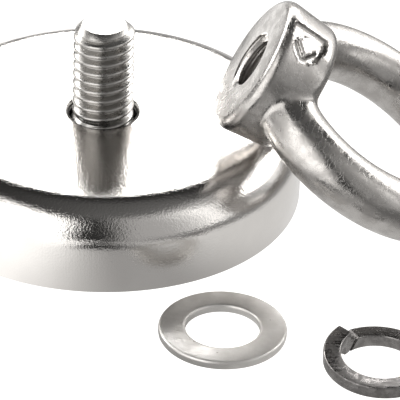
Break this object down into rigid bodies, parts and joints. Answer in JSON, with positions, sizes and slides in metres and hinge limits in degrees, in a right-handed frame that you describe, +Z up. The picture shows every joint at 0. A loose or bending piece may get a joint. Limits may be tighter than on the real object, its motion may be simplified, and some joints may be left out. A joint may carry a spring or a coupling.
{
  "type": "magnet fishing magnet",
  "caption": "Round steel pot magnet with a central threaded stud, and its loose flat washer, split washer and lifting eye nut.",
  "frame": {"origin": "on the table under the middle of the laid-out kit; the pot's axis stands at x -0.0145 m, y 0.0126 m", "axes": "+Z up off the table, the pot stands rim down; +X from the pot towards the eye nut; the washers lie on the -Y side"},
  "size_m": [0.0916, 0.0876, 0.0366],
  "materials": {
    "nickel_plate": "polished nickel plate",
    "magnet_nickel": "satin nickel plate",
    "potting_resin": "cast black epoxy",
    "bush_plastic": "moulded black nylon",
    "stud_steel": "rolled thread, bright zinc",
    "washer_steel": "tumbled stainless",
    "spring_steel": "bright wire with drawn marks",
    "eye_nut_steel": "cast, satin polished, turned face"
  },
  "bodies": {
    "magnet": {"pot_cup": "nickel_plate", "ring_magnet": "magnet_nickel", "outer_potting": "potting_resin", "centre_bush": "bush_plastic"},
    "stud": {"countersunk_screw": "stud_steel"},
    "flat_washer": {"flat_washer": "washer_steel"},
    "spring_washer": {"spring_washer": "spring_steel"},
    "eye_nut": {"eye_nut": "eye_nut_steel"}
  },
  "joints": [
    {"name": "stud_turn", "type": "hinge", "parent": "magnet", "child": "stud", "pos_m": [-0.01454, 0.0126, 0.0135], "axis": [0, 0, 1], "continuous": true},
    {"name": "flat_washer_lift", "type": "slide", "parent": "magnet", "child": "flat_washer", "axis": [-0.1861, 0.3885, 0.9024], "range_m": [0, 0.10527]},
    {"name": "spring_washer_lift", "type": "slide", "parent": "magnet", "child": "spring_washer", "axis": [-0.3438, 0.3927, 0.853], "range_m": [0, 0.1231]},
    {"name": "eye_nut_turn_over", "type": "hinge", "parent": "magnet", "child": "eye_nut", "pos_m": [-0.02955, 0.01234, 0.06606], "axis": [0.2638, -0.9533, 0.1474], "range_deg": [0, 123.91]}
  ]
}
